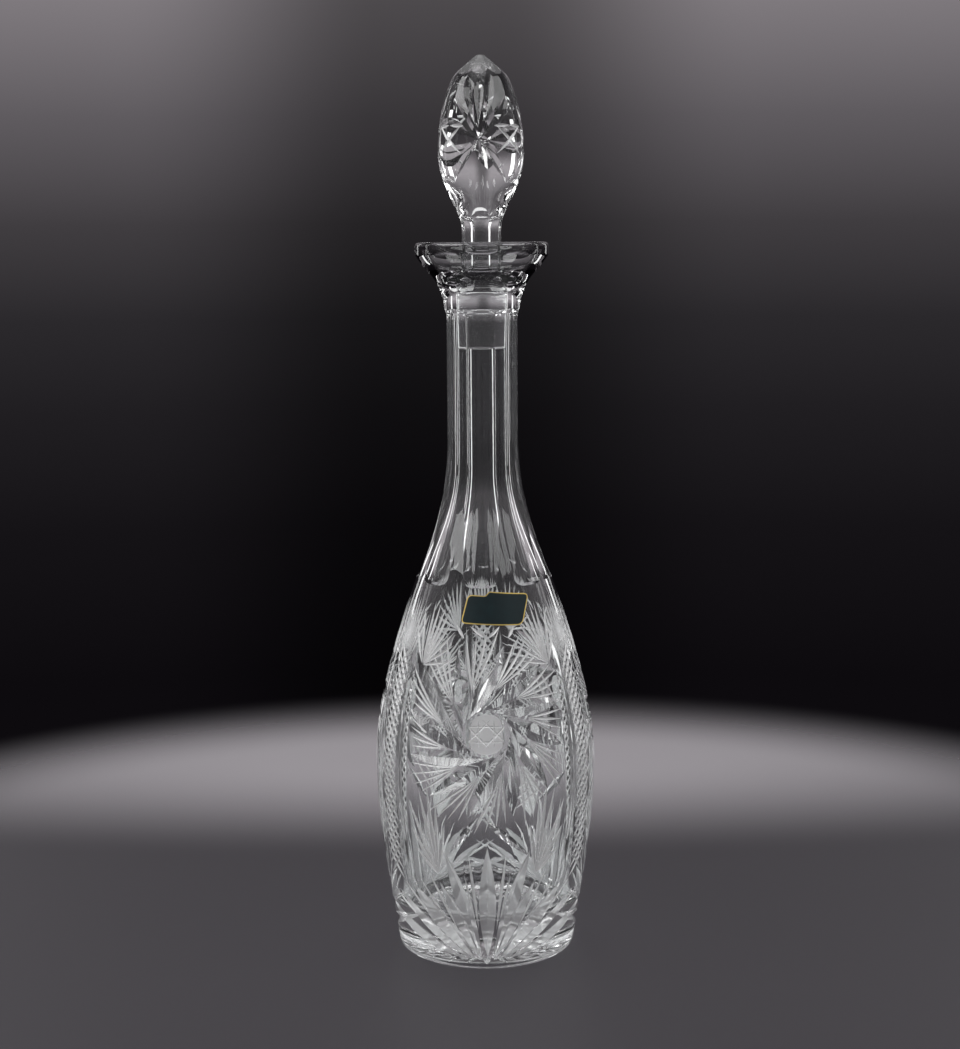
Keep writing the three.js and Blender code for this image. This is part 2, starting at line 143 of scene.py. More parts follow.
FOOT_RING_RADIUS = 34.5
FOOT_RADIUS = 38.2
UNDERSIDE_RISE = 1.6
HEEL_RADIUS = 40.4
BELLY_RADIUS = 50.0
BELLY_HEIGHT = 86.0
SHOULDER_RADIUS = 29.3
SHOULDER_HEIGHT = 174.0
NECK_RADIUS = 16.8
NECK_BOTTOM = 236.0
NECK_TOP = 290.0
LIP_RADIUS = 29.5
RIM_HEIGHT = 320.0
FLOOR_HEIGHT = 22.0
BORE_RADIUS = 10.6
SEAT_TOP = 302.0
PLUG_BOTTOM = 273.5
BOTTLE_PROFILE = [
    ((0, UNDERSIDE_RISE), (0, UNDERSIDE_RISE), (20, UNDERSIDE_RISE)),
    ((FOOT_RING_RADIUS, 0), (31, 0.7), (FOOT_RING_RADIUS, 0)),
    ((FOOT_RADIUS, 0), (FOOT_RADIUS, 0), (39.7, 0)),
    ((HEEL_RADIUS, 2.6), (HEEL_RADIUS, 0.9), (45.0, 29.2)),
    ((BELLY_RADIUS, BELLY_HEIGHT), (BELLY_RADIUS, 60.2), (BELLY_RADIUS, 115.9)),
    ((SHOULDER_RADIUS, SHOULDER_HEIGHT), (38.0, 150), (23.8, 189.2)),
    ((NECK_RADIUS, NECK_BOTTOM), (NECK_RADIUS, 208), (NECK_RADIUS, NECK_BOTTOM)),
    ((NECK_RADIUS, NECK_TOP), (NECK_RADIUS, NECK_TOP), (NECK_RADIUS, 303)),
    ((LIP_RADIUS, 314.5), (25.5, 307.5), (LIP_RADIUS, 314.5)),
    ((LIP_RADIUS, 317.8), (LIP_RADIUS, 317.8), (LIP_RADIUS, 319.3)),
    ((27.3, RIM_HEIGHT), (28.8, RIM_HEIGHT), (27.3, RIM_HEIGHT)),
    ((26.2, RIM_HEIGHT), (26.2, RIM_HEIGHT), (25.4, RIM_HEIGHT)),
    ((25.0, 318.8), (25.3, 319.4), (22.0, 308)),
    ((11.6, SEAT_TOP), (13.1, 307), (11.6, SEAT_TOP)),
    ((BORE_RADIUS, PLUG_BOTTOM), (BORE_RADIUS, PLUG_BOTTOM), (BORE_RADIUS, PLUG_BOTTOM)),
    ((BORE_RADIUS, 220), (BORE_RADIUS, 220), (BORE_RADIUS, 202)),
    ((25.1, SHOULDER_HEIGHT), (19.6, 189.2), (33.8, 150)),
    ((43.8, BELLY_HEIGHT), (43.8, 115.9), (43.8, 60.2)),
    ((38.0, 29.0), (38.0, 38.8), (38.0, 24.3)),
    ((31.0, FLOOR_HEIGHT), (35.7, FLOOR_HEIGHT), (31.0, FLOOR_HEIGHT)),
    ((0, FLOOR_HEIGHT), (0, FLOOR_HEIGHT), (0, FLOOR_HEIGHT)),
]
BOTTLE_STEPS = 192
CURVE_STEPS = 24
STRAIGHT_ENOUGH = 1.4
SAME_POINT = 0.002


def deselect_all():
    if bpy.context.object and bpy.context.object.mode != "OBJECT":
        bpy.ops.object.mode_set(mode="OBJECT")
    bpy.ops.object.select_all(action="DESELECT")


def spun(name, profile, steps):
    """Draws a profile of curve points, makes it a wire and spins it round the upright axis. It also
    gives the wire's points, as (radius, height) pairs."""
    deselect_all()
    bpy.ops.curve.primitive_bezier_curve_add()
    drawn = bpy.context.object
    drawn.name = name
    drawn.data.resolution_u = CURVE_STEPS
    spline = drawn.data.splines[0]
    spline.bezier_points.add(len(profile) - len(spline.bezier_points))
    for point, (place, before, after) in zip(spline.bezier_points, profile):
        point.handle_left_type = point.handle_right_type = "FREE"
        point.co = Vector((place[0], 0, place[1])) * MM
        point.handle_left = Vector((before[0], 0, before[1])) * MM
        point.handle_right = Vector((after[0], 0, after[1])) * MM
    bpy.ops.object.convert(target="MESH")
    bpy.ops.object.mode_set(mode="EDIT")
    bpy.ops.mesh.select_all(action="SELECT")
    bpy.ops.mesh.dissolve_limited(angle_limit=math.radians(STRAIGHT_ENOUGH))
    bpy.ops.object.mode_set(mode="OBJECT")
    wire = [(v.co.x / MM, v.co.z / MM) for v in drawn.data.vertices]
    bpy.ops.object.mode_set(mode="EDIT")
    bpy.ops.mesh.select_all(action="SELECT")
    bpy.ops.mesh.spin(steps=steps, angle=math.tau, center=(0, 0, 0), axis=(0, 0, 1))
    bpy.ops.mesh.select_all(action="SELECT")
    bpy.ops.mesh.remove_doubles(threshold=SAME_POINT * MM)
    bpy.ops.mesh.normals_make_consistent(inside=False)
    bpy.ops.object.mode_set(mode="OBJECT")
    return drawn, wire


crystal_bottle, bottle_wire = spun("crystal_bottle", BOTTLE_PROFILE, BOTTLE_STEPS)
for material in (polished_skin, broad_cut, silver_cut, satin_cut, fine_cut, matt_cut):
    crystal_bottle.data.materials.append(material)


# The cutting wheels: a stone with a V edge grinds every mitre, leaf and ray, and one with a round
# edge the hollow flutes. One groove of each is modelled, and copies of it are laid along the glass,
# each as long, wide and deep as the pass that it stands for, and taken out of it.

scene = bpy.context.scene
# Every groove stands out of the glass by the overcut. A mitre's ends run out just above the skin,
# and the way it goes at a place is taken from a share of its length on either side.
OVERCUT = 0.8
MITRE_ANGLE = 112.0
MITRE_STEPS = 8
MITRE_RUN_OUT = 0.05
MITRE_AHEAD = 0.03
# A flute's groove is somewhat wider than the flute, and bites a little past the ridge to the next.
# Where it lies alone on wider glass it goes deeper, fully so at the lone reach.
FLUTE_STEPS = 28
FLUTE_STRIPS = 8
FLUTE_HOLLOW = 0.3
FLUTE_SPARE = 1.1
FLUTE_BITE = 0.12
FLUTE_END_ROUND = 0.75
LONE_HOLLOW = 0.4
LONE_REACH = 3.0


def surface_of(wire):
    """The outside of a turned blank: an azimuth and a height give the point, the outward way and
    the radius there. The wire runs up the outside between its lowest and its highest points."""
    near = 0.01
    top = max(z for r, z in wire)
    last = next(i for i, (r, z) in enumerate(wire) if z > top - near)
    foot = min(z for r, z in wire)
    first = max(i for i, (r, z) in enumerate(wire) if z < foot + near and i < last)
    rows = [(z, r) for r, z in wire[first:last]]
    heights = [z for z, r in rows]

    def radius_at(height):
        above = min(max(bisect.bisect_left(heights, height), 1), len(rows) - 1)
        (z0, r0), (z1, r1) = rows[above - 1], rows[above]
        return r0 + (r1 - r0) * (height - z0) / max(z1 - z0, 1e-6)

    def place(azimuth, height):
        radius = radius_at(height)
        slope = (radius_at(height + 1) - radius_at(height - 1)) / 2
        angle = math.radians(azimuth)
        point = Vector((radius * math.sin(angle), -radius * math.cos(angle), height))
        out = Vector((math.sin(angle), -math.cos(angle), -slope)).normalized()
        return point, out, radius

    return place


def groove_blank(name, steps, hollow):
    """One straight groove: x from 0 to 1 along it, y from -1 to 1 across it and z from 0 at its
    floor to 1. It has a floor where it is to be hollow, and otherwise a V edge."""
    deselect_all()
    bpy.ops.mesh.primitive_cube_add(size=1, location=(0.5, 0, 0.5), scale=(1, 2, 1))
    blank = bpy.context.object
    blank.name = name
    bpy.ops.object.transform_apply(location=True, rotation=True, scale=True)
    bpy.ops.object.mode_set(mode="EDIT")
    bpy.ops.mesh.select_mode(type="EDGE")
    bpy.ops.mesh.select_all(action="DESELECT")
    bpy.ops.object.mode_set(mode="OBJECT")
    for edge in blank.data.edges:
        ends = [blank.data.vertices[i].co for i in edge.vertices]
        edge.select = abs(ends[0].x - ends[1].x) > 0.5
    bpy.ops.object.mode_set(mode="EDIT")
    bpy.ops.mesh.subdivide(number_cuts=steps - 1)
    bpy.ops.mesh.select_mode(type="VERT")
    if hollow:
        for i in range(1, FLUTE_STRIPS):
            bpy.ops.mesh.select_all(action="SELECT")
            bpy.ops.mesh.bisect(plane_co=(0, 2 * i / FLUTE_STRIPS - 1, 0), plane_no=(0, 1, 0))
    else:
        bpy.ops.mesh.select_all(action="DESELECT")
        bpy.ops.object.mode_set(mode="OBJECT")
        for vertex in blank.data.vertices:
            vertex.select = vertex.co.z < 0.5
        bpy.ops.object.mode_set(mode="EDIT")
        bpy.ops.transform.resize(value=(1, 0, 1), center_override=(0, 0, 0))
        bpy.ops.mesh.remove_doubles(threshold=SAME_POINT)
    bpy.ops.object.mode_set(mode="OBJECT")
    return blank


mitre_groove = groove_blank("mitre_groove", MITRE_STEPS, hollow=False)
flute_groove = groove_blank("flute_groove", FLUTE_STEPS, hollow=True)


def tray(name):
    """A place for the cuts that are taken out of the glass together."""
    collection = bpy.data.collections.new(name)
    scene.collection.children.link(collection)
    return collection


def lay(groove, cuts, material, station):
    """Copies a groove into a tray of cuts. The station function gives, for a share of its length,
    the point, the outward way, the way across, the half width there, the depth at the edges and how
    much deeper the middle is, in mm."""
    cut = groove.copy()
    cut.data = groove.data.copy()
    cuts.objects.link(cut)
    cut.data.materials.append(material)
    for vertex in cut.data.vertices:
        share, side, top = vertex.co
        point, out, across, half, depth, hollow = station(min(max(share, 0), 1))
        rise = OVERCUT if top > 0.5 else -depth - hollow * (1 - side ** 2)
        vertex.co = (point + out * rise + across * half * side) * MM


def mitre(surface, cuts, start, end, width, material, deepest=0.5):
    """A V cut from one (azimuth, height) to another, deepest at a share of the way along."""
    slant = math.tan(math.radians(MITRE_ANGLE / 2))
    full_depth = width / 2 / slant
    warp = math.log(0.5) / math.log(deepest)

    def spot(share):
        return surface(start[0] + (end[0] - start[0]) * share, start[1] + (end[1] - start[1]) * share)

    def station(share):
        point, out, radius = spot(share)
        ahead = spot(min(share + MITRE_AHEAD, 1))[0]
        behind = spot(max(share - MITRE_AHEAD, 0))[0]
        along = (ahead - behind).normalized()
        across = out.cross(along).normalized()
        depth = (full_depth + MITRE_RUN_OUT) * math.sin(math.pi * share ** warp) - MITRE_RUN_OUT
        return point, along.cross(across), across, slant * (depth + OVERCUT), depth, 0

    lay(mitre_groove, cuts, material, station)


def stroke(surface, cuts, centre, side, start, end, width, material, deepest=0.5):
    """A mitre drawn from an upright centre line, to its right where side is 1 or its left at -1."""
    mitre(surface, cuts, (centre + side * start[0], start[1]), (centre + side * end[0], end[1]),
        width, material, deepest)


def flute(surface, cuts, azimuth, count, half_width, bottom, top, run_low, run_high, material):
    """A hollow cut up the side, as wide as its share of the round or as its wheel, that runs out in
    round ends. It is hollower where it lies alone."""
    half_turn = math.pi / count

    def ramp(distance, run):
        return (1 - (1 - min(distance / run, 1)) ** 2) ** FLUTE_END_ROUND

    def station(share):
        height = bottom + (top - bottom) * (1 - math.cos(math.pi * share)) / 2
        point, out, radius = surface(azimuth, height)
        share_of_round = radius * math.sin(half_turn)
        half = min(share_of_round, half_width)
        alone = min(max((share_of_round - half_width) / LONE_REACH, 0), 1)
        hollow = FLUTE_HOLLOW + LONE_HOLLOW * alone
        edge = radius - math.sqrt(radius ** 2 - half ** 2) - hollow * (1 - 1 / FLUTE_SPARE ** 2)
        if share_of_round < half_width:
            edge += FLUTE_BITE
        along = (surface(azimuth, height + 0.5)[0] - surface(azimuth, height - 0.5)[0]).normalized()
        across = out.cross(along).normalized()
        cut_share = min(ramp(height - bottom, run_low), ramp(top - height, run_high))
        return (point, along.cross(across), across, half * FLUTE_SPARE / math.cos(half_turn),
            (edge + FLUTE_BITE) * cut_share - FLUTE_BITE, hollow * cut_share)

    lay(flute_groove, cuts, material, station)


def pick(piece):
    """Selects one piece alone and makes it the active one."""
    deselect_all()
    piece.select_set(True)
    bpy.context.view_layer.objects.active = piece


def carve(piece, cuts):
    """Takes every cut in a tray out of the glass, then clears the tray."""
    pick(piece)
    wheel = piece.modifiers.new("wheel", "BOOLEAN")
    wheel.operation = "DIFFERENCE"
    wheel.solver = "MANIFOLD"
    wheel.operand_type = "COLLECTION"
    wheel.collection = cuts
    bpy.ops.object.modifier_apply(modifier=wheel.name)
    for cut in list(cuts.objects):
        bpy.data.meshes.remove(cut.data)
    bpy.data.collections.remove(cuts)


# Neck flutes: eight hollow cuts side by side from the shoulder to under the lip. They meet in sharp
# ridges on the narrow neck and stand apart, with round ends, on the wider shoulder.

FLUTE_COUNT = 8
FLUTE_TURN = -3.0
FLUTE_HALF = 7.4
FLUTE_BOTTOM = 170.5
FLUTE_TOP = 291.0
FLUTE_RUN_LOW = 4.0
FLUTE_RUN_HIGH = 3.0

body_surface = surface_of(bottle_wire)
neck_cuts = tray("neck_cuts")
for i in range(FLUTE_COUNT):
    flute(body_surface, neck_cuts, FLUTE_TURN + 360 * i / FLUTE_COUNT, FLUTE_COUNT, FLUTE_HALF,
        FLUTE_BOTTOM, FLUTE_TOP, FLUTE_RUN_LOW, FLUTE_RUN_HIGH, broad_cut)
carve(crystal_bottle, neck_cuts)


# The underside: a star of long mitres ground into the shallow hollow, so that the thick floor
# sparkles from below. Every second ray is a hair wider, as no two cuts by hand are quite alike.

BASE_STAR_RAYS = 24
BASE_STAR_START = 1.5
BASE_STAR_END = 33.0
BASE_STAR_WIDTH = 3.4
BASE_STAR_DEEPEST = 0.6
UNLIKE = 0.1


def underside(azimuth, radius):
    """What surface_of gives, for the shallow hollow below: a radius takes the height's place."""
    angle = math.radians(azimuth)
    rise = UNDERSIDE_RISE * (1 - (radius / FOOT_RING_RADIUS) ** 2)
    point = Vector((radius * math.sin(angle), -radius * math.cos(angle), max(rise, 0)))
    return point, Vector((0, 0, -1)), radius


base_cuts = tray("base_cuts")
for i in range(BASE_STAR_RAYS):
    azimuth = 360 * i / BASE_STAR_RAYS
    mitre(underside, base_cuts, (azimuth, BASE_STAR_START), (azimuth, BASE_STAR_END),
        BASE_STAR_WIDTH + UNLIKE * (i % 2), broad_cut, BASE_STAR_DEEPEST)
carve(crystal_bottle, base_cuts)


# The body pattern: three like panels cut round the bottle, each with a pinwheel of vanes that pass a
# matt hub, fine rays between the vanes and from the corners, a chevron under it and leaves that rise
# from the foot. Places are (azimuth, height) from a panel's centre, in degrees and millimetres.

PANEL_COUNT = 3
PANEL_TURN = 0.5
PANEL_HALF = 37.0
HUB_HEIGHT = 109.7
HUB_RADIUS = 9.0
HUB_DEPTH = 0.5
HUB_BLOCK = 4.0
STAR_STROKES = 8
STAR_OFFSET = 3.3
STAR_HALF = 8.2
STAR_WIDTH = 2.4
VANE_COUNT = 12
VANE_TURN = 2.0
VANE_ROOT = 1.0
VANE_REACH = 38.5
VANE_OFFSET = 10.2
VANE_WIDTH = 7.6
RAY_COUNT = 4
RAY_ROOT = 19.0
RAY_ROOT_TURN = 47.0
RAY_FIRST_TURN = 20.0
RAY_NEXT_TURN = 6.5
RAY_REACH = 46.0
RAY_SHORTER = 1.5
RAY_WIDTH = 1.2
TIE_DISTANCES = (28.5, 32, 35.5)
TIE_START_TURN = 17.0
TIE_END_TURN = 45.0
TIE_EVERY = 3
CHEVRON = [((-4.5, 73.5), (-20.5, 55.5), 3.0), ((-4.0, 74), (24, 53), 3.4)]
TOP_STROKES = [((-11.5, 155.4), (-0.3, 150.2)), ((10.9, 155.4), (2.3, 150.2)),
    ((-22, 157), (-14, 149.5)), ((22, 157), (15, 149.5))]
TOP_STROKE_WIDTH = 1.5
TOP_STROKE_DEEPEST = 0.6
LOW_FAN_ROOT = (27, 45)
LOW_FAN = [(-5, 70), (0, 80), (5, 88), (10, 85), (17, 79), (16, 66), (13, 56)]
LOW_FAN_WIDTH = 2.1
HIGH_FAN_ROOT = (42, 137)
HIGH_FAN = [(14, 157), (8, 163), (-2, 165), (-7, 165), (-12, 163), (-16, 161), (-20, 158), (-22, 153),
    (-22, 147), (-20, 140)]
HIGH_FAN_WIDTH = 1.4
FAN_DEEPEST = 0.45
BASE_LEAVES = [(0, 59.5, 8.0), (23, 57, 6.6), (27, 42, 5.8), (46, 38, 8.8), (60, 32, 5.4), (80, 24, 5.4)]
LEAF_ROOT = 5.0
LEAF_GATHER = 0.16
BASE_RAYS = [(10, 57), (12.5, 46), (34, 47), (40, 42), (53, 38), (68, 32)]
BASE_RAY_ROOT = 18.0
BASE_RAY_GATHER = 0.5
BASE_RAY_WIDTH = 1.4


def pinwheel(panel):
    """A flat hub with a small star on it, vanes that pass it on one side, rays fanned between the
    vanes and three short ties across the rays of every third gap."""
    def at(distance, angle, offset=0.0):
        x = distance * math.cos(angle) - offset * math.sin(angle)
        z = HUB_HEIGHT + distance * math.sin(angle) + offset * math.cos(angle)
        return panel + math.degrees(x / body_surface(0, z)[2]), z

    middle, out, radius = body_surface(panel, HUB_HEIGHT)
    deselect_all()
    bpy.ops.mesh.primitive_cylinder_add(vertices=VANE_COUNT, radius=HUB_RADIUS * MM,
        depth=HUB_BLOCK * MM, location=(middle + out * (HUB_BLOCK / 2 - HUB_DEPTH)) * MM,
        rotation=out.to_track_quat("Z", "Y").to_euler())
    hub = bpy.context.object
    hub.data.materials.append(matt_cut)
    place_in_scene = list(scene.collection.children).index(panel_cuts) + 1
    bpy.ops.object.move_to_collection(collection_index=place_in_scene)
    for i in range(STAR_STROKES):
        angle = math.tau * i / STAR_STROKES
        mitre(body_surface, panel_cuts, at(-STAR_HALF, angle, STAR_OFFSET),
            at(STAR_HALF, angle, STAR_OFFSET), STAR_WIDTH, fine_cut)
    tip = math.sqrt(VANE_REACH ** 2 - VANE_OFFSET ** 2)
    for i in range(VANE_COUNT):
        turn = VANE_TURN + 360 * i / VANE_COUNT
        angle = math.radians(turn)
        mitre(body_surface, panel_cuts, at(VANE_ROOT, angle, VANE_OFFSET),
            at(tip, angle, VANE_OFFSET), VANE_WIDTH, broad_cut if i % 2 else silver_cut)
        for k in range(RAY_COUNT):
            ray = math.radians(turn + RAY_FIRST_TURN + RAY_NEXT_TURN * k)
            reach = min(RAY_REACH - RAY_SHORTER * k, PANEL_HALF / max(abs(math.cos(ray)), 0.1))
            mitre(body_surface, panel_cuts, at(RAY_ROOT, math.radians(turn + RAY_ROOT_TURN)),
                at(reach, ray), RAY_WIDTH, fine_cut)
        if i % TIE_EVERY == 0:
            for distance in TIE_DISTANCES:
                mitre(body_surface, panel_cuts, at(distance, math.radians(turn + TIE_START_TURN)),
                    at(distance, math.radians(turn + TIE_END_TURN)), RAY_WIDTH, fine_cut)


def fan(panel, side, root, tips, width):
    """Fine rays from one root to tips whose azimuths count from it."""
    for azimuth, height in tips:
        stroke(body_surface, panel_cuts, panel, side, root, (root[0] + azimuth, height), width,
            fine_cut, FAN_DEEPEST)


panel_cuts = tray("panel_cuts")
for i in range(PANEL_COUNT):
    panel = PANEL_TURN + 360 * i / PANEL_COUNT
    pinwheel(panel)
    for start, end, width in CHEVRON:
        stroke(body_surface, panel_cuts, panel, 1, start, end, width, silver_cut)
    for start, end in TOP_STROKES:
        stroke(body_surface, panel_cuts, panel, 1, start, end, TOP_STROKE_WIDTH, fine_cut,
            TOP_STROKE_DEEPEST)
    for side in (-1, 1):
        fan(panel, side, LOW_FAN_ROOT, LOW_FAN, LOW_FAN_WIDTH)
        fan(panel, side, HIGH_FAN_ROOT, HIGH_FAN, HIGH_FAN_WIDTH)
        for azimuth, tip, width in BASE_LEAVES:
            if azimuth or side > 0:
                stroke(body_surface, panel_cuts, panel, side, (azimuth * LEAF_GATHER, LEAF_ROOT),
                    (azimuth, tip), width, satin_cut)
        for azimuth, tip in BASE_RAYS:
            stroke(body_surface, panel_cuts, panel, side,
                (azimuth * BASE_RAY_GATHER, BASE_RAY_ROOT), (azimuth, tip), BASE_RAY_WIDTH, fine_cut)


# Columns between the panels: an upright lattice of small crosses ground between two mitres, framed
# by a broad one on each side, with a crown of rays on top. With them the bottle is finished: its
# skin is smooth and the edges of its cuts stay crisp.

COLUMN_BOTTOM = 38.0
COLUMN_TOP = 146.0
COLUMN_HALF = 7.4
COLUMN_WIDTH = 2.4
BORDER_HALF = 12.4
BORDER_LATER = 4.0
BORDER_SOONER = 6.0
BORDER_WIDTH = 5.6
LATTICE_PITCH = 4.7
LATTICE_SLOPE = 13.0
LATTICE_WIDTH = 1.9
CROWN = (-16, -12, -8.5, -5, -1.7, 1.7, 5, 8.5, 12, 16)
CROWN_GATHER = 0.35
CROWN_ROOT = COLUMN_TOP - 7
CROWN_TIP = 167.0
CROWN_FALL = 0.5
CROWN_WIDTH = 1.5
CRISP_EDGE = 14.0

for i in range(PANEL_COUNT):
    column = PANEL_TURN + 360 * (i + 0.5) / PANEL_COUNT
    for side in (-1, 1):
        stroke(body_surface, panel_cuts, column, side, (COLUMN_HALF, COLUMN_BOTTOM),
            (COLUMN_HALF, COLUMN_TOP), COLUMN_WIDTH, silver_cut)
        stroke(body_surface, panel_cuts, column, side, (BORDER_HALF, COLUMN_BOTTOM + BORDER_LATER),
            (BORDER_HALF, COLUMN_TOP - BORDER_SOONER), BORDER_WIDTH, silver_cut)
        low = COLUMN_BOTTOM
        while low < COLUMN_TOP - LATTICE_SLOPE:
            stroke(body_surface, panel_cuts, column, side, (-COLUMN_HALF, low),
                (COLUMN_HALF, low + LATTICE_SLOPE), LATTICE_WIDTH + UNLIKE * side, fine_cut)
            low += LATTICE_PITCH
    for azimuth in CROWN:
        stroke(body_surface, panel_cuts, column, 1, (azimuth * CROWN_GATHER, CROWN_ROOT),
            (azimuth, CROWN_TIP - abs(azimuth) * CROWN_FALL), CROWN_WIDTH, fine_cut)
carve(crystal_bottle, panel_cuts)

pick(crystal_bottle)
bpy.ops.object.shade_smooth_by_angle(angle=math.radians(CRISP_EDGE))
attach(crystal_bottle, "bottle")
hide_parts("decanter_body")


# The foil label: a thin pressed foil glued on the shoulder, a leaning plate with round corners and a
# step in its upper edge, dark bottle green inside a narrow gold edge. Each corner is its place on
# the flat foil and its rounding, in millimetres.

LABEL_AZIMUTH = 8.7
LABEL_HEIGHT = 162.0
LABEL_CORNERS = [(-11.9, 6.1, 2.0), (-4.3, 5.6, 0.7), (-2.7, 7.4, 0.7), (15.8, 5.5, 2.2),
    (11.6, -7.3, 2.2), (-15.9, -5.9, 2.0)]
CORNER_STEPS = 5
LABEL_EDGE = 0.45
LABEL_LIFT = 0.32
LABEL_THICKNESS = 0.14
# The foil is bent round the shoulder along upright lines.
BEND_PITCH = 1.3
BEND_OFFSET = 0.15
BENDS_PER_SIDE = 11
FOIL_EDGE = 30.0
GOLD = "#DCC272"
GREEN_DARK = "#04161A"
GREEN_LIGHT = "#08282C"
CRUMPLE_WIDTH = 1.11
STREAK_WIDTH = 3.85
PRESS_DEPTH = 0.1

deselect_all()
bpy.ops.mesh.primitive_circle_add(vertices=len(LABEL_CORNERS), fill_type="NGON")
shoulder_label = bpy.context.object
shoulder_label.name = "shoulder_label"
for vertex, (x, y, rounding) in zip(shoulder_label.data.vertices, LABEL_CORNERS):
    vertex.co = (x, y, 0)
bpy.ops.object.mode_set(mode="EDIT")
bpy.ops.mesh.select_mode(type="VERT")
for x, y, rounding in LABEL_CORNERS:
    bpy.ops.mesh.select_all(action="DESELECT")
    bpy.ops.object.mode_set(mode="OBJECT")
    for vertex in shoulder_label.data.vertices:
        vertex.select = (vertex.co - Vector((x, y, 0))).length < 0.01
    bpy.ops.object.mode_set(mode="EDIT")
    bpy.ops.mesh.bevel(offset=rounding, segments=CORNER_STEPS, affect="VERTICES")
bpy.ops.mesh.select_mode(type="FACE")
bpy.ops.mesh.select_all(action="SELECT")
bpy.ops.mesh.inset(thickness=LABEL_EDGE)
bpy.ops.object.mode_set(mode="OBJECT")

# Gold foil, pressed and a little crumpled: soft broken glints. The lacquer over the same foil is
# nearly black, with faint streaks of green and hardly a shine.
gold_foil = empty_material("gold foil")
green_foil = empty_material("bottle-green lacquered foil")
for material in (green_foil, gold_foil):
    shoulder_label.data.materials.append(material)
for face in shoulder_label.data.polygons:
    face.material_index = 0 if face.select else 1
crumple_place = add_node(gold_foil, "ShaderNodeTexCoord")
crumple = add_node(gold_foil, "ShaderNodeTexNoise", {"Scale": 1 / (CRUMPLE_WIDTH * MM), "Detail": 3.0},
    {"Vector": (crumple_place, "Object")})
pressed = add_node(gold_foil, "ShaderNodeBump", {"Strength": 0.25, "Distance": PRESS_DEPTH * MM},
    {"Height": (crumple, "Fac")})
gold = add_node(gold_foil, "ShaderNodeBsdfPrincipled", {"Base Color": linear(GOLD),
    "Metallic": 1.0, "Roughness": 0.45}, {"Normal": (pressed, "Normal")})
add_node(gold_foil, "ShaderNodeOutputMaterial", {}, {"Surface": (gold, "BSDF")})
lacquer_place = add_node(green_foil, "ShaderNodeTexCoord")
streaks = add_node(green_foil, "ShaderNodeTexNoise", {"Scale": 1 / (STREAK_WIDTH * MM), "Detail": 4.0},
    {"Vector": (lacquer_place, "Object")})
lacquer_colour = add_node(green_foil, "ShaderNodeMixRGB", {"Color1": linear(GREEN_DARK),
    "Color2": linear(GREEN_LIGHT)}, {"Fac": (streaks, "Fac")})
dent = add_node(green_foil, "ShaderNodeBump", {"Strength": 0.2, "Distance": PRESS_DEPTH * MM},
    {"Height": (streaks, "Fac")})
lacquer = add_node(green_foil, "ShaderNodeBsdfPrincipled", {"Metallic": 0.3, "Roughness": 0.5,
    "Coat Weight": 0.05, "Coat Roughness": 0.2},
    {"Base Color": (lacquer_colour, "Color"), "Normal": (dent, "Normal")})
add_node(green_foil, "ShaderNodeOutputMaterial", {}, {"Surface": (lacquer, "BSDF")})

bpy.ops.object.mode_set(mode="EDIT")
for i in range(-BENDS_PER_SIDE, BENDS_PER_SIDE + 1):
    bpy.ops.mesh.select_all(action="SELECT")
    bpy.ops.mesh.bisect(plane_co=(BEND_PITCH * i + BEND_OFFSET, 0, 0), plane_no=(1, 0, 0))
bpy.ops.mesh.select_all(action="SELECT")
bpy.ops.mesh.quads_convert_to_tris()
bpy.ops.object.mode_set(mode="OBJECT")
for vertex in shoulder_label.data.vertices:
    height = LABEL_HEIGHT + vertex.co.y
    angle = LABEL_AZIMUTH + math.degrees(vertex.co.x / body_surface(0, height)[2])
    point, out, radius = body_surface(angle, height)
    vertex.co = (point + out * LABEL_LIFT) * MM
bpy.ops.object.modifier_add(type="SOLIDIFY")
foil_sheet = shoulder_label.modifiers["Solidify"]
foil_sheet.thickness = LABEL_THICKNESS * MM
foil_sheet.offset = 1
bpy.ops.object.modifier_apply(modifier=foil_sheet.name)
bpy.ops.object.shade_smooth_by_angle(angle=math.radians(FOIL_EDGE))
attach(shoulder_label, "bottle")
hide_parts("foil_label")


# The stopper: pressed and turned solid, its plug ground to the seat, its stem cut with eight flutes
# and its head with four crosses, a crest of leaves over each and a faceted point. It rests in the
# seat by its own weight.

STEM_RADIUS = 9.3
HEAD_RADIUS = 18.8
HEAD_MIDDLE = 358.0
APEX = 400.0
STOPPER_PROFILE = [
    ((0, PLUG_BOTTOM), (0, PLUG_BOTTOM), (0, PLUG_BOTTOM)),
    ((9.5, PLUG_BOTTOM), (9.5, PLUG_BOTTOM), (10.1, PLUG_BOTTOM)),
    ((10.3, 274.3), (10.3, 273.9), (10.3, 274.3)),
    ((11.3, SEAT_TOP), (11.3, SEAT_TOP), (10, 304)),
    ((STEM_RADIUS, 310), (STEM_RADIUS, 307), (STEM_RADIUS, 310)),
    ((STEM_RADIUS, 325), (STEM_RADIUS, 325), (STEM_RADIUS, 335)),
    ((HEAD_RADIUS, HEAD_MIDDLE), (HEAD_RADIUS, 344.5), (HEAD_RADIUS, 373)),
    ((12.4, 390), (15.6, 383.5), (10.6, 393)),
    ((1.8, APEX), (5.5, 398), (1.8, APEX)),
    ((0, APEX), (0, APEX), (0, APEX)),
]
STOPPER_STEPS = 128
HEAD_PANELS = 4
HEAD_TURN = -3.0
STEM_FLUTES = 8
STEM_FLUTE_HALF = 4.0
STEM_FLUTE_BOTTOM = 308.0
STEM_FLUTE_TOP = 335.0
STEM_RUN_LOW = 3.0
STEM_RUN_HIGH = 8.0
CROSS_HEIGHT = 363.5
